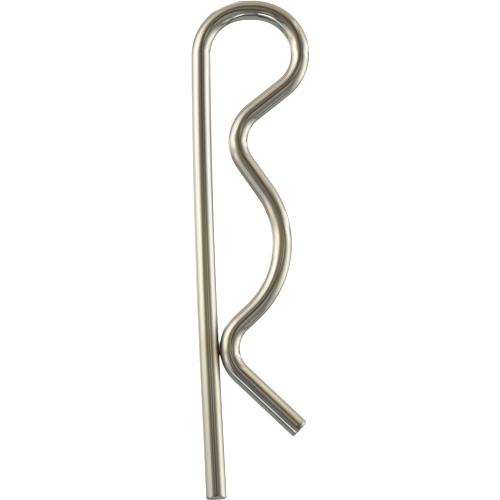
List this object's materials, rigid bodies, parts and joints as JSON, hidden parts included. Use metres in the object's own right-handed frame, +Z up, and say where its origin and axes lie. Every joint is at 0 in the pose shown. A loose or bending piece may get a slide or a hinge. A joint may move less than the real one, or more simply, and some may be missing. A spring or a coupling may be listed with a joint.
{
  "type": "spring cotter pin",
  "caption": "Spring cotter pin bent from round steel wire: a rounded spring eye, a straight leg for a cross hole, and a wavy leg whose bow grips a shaft.",
  "frame": {"origin": "centre of the clip's bounding box, on the surface it lies on", "axes": "+Y along the straight tip of the leg towards the spring eye, +X towards the wavy leg, +Z up from the surface"},
  "size_m": [0.0192, 0.0758, 0.003],
  "materials": {
    "spring_wire": "bright drawn spring steel wire, faintly lined along its length"
  },
  "bodies": {
    "root": {"spring_cotter_pin": "spring_wire"}
  },
  "joints": []
}
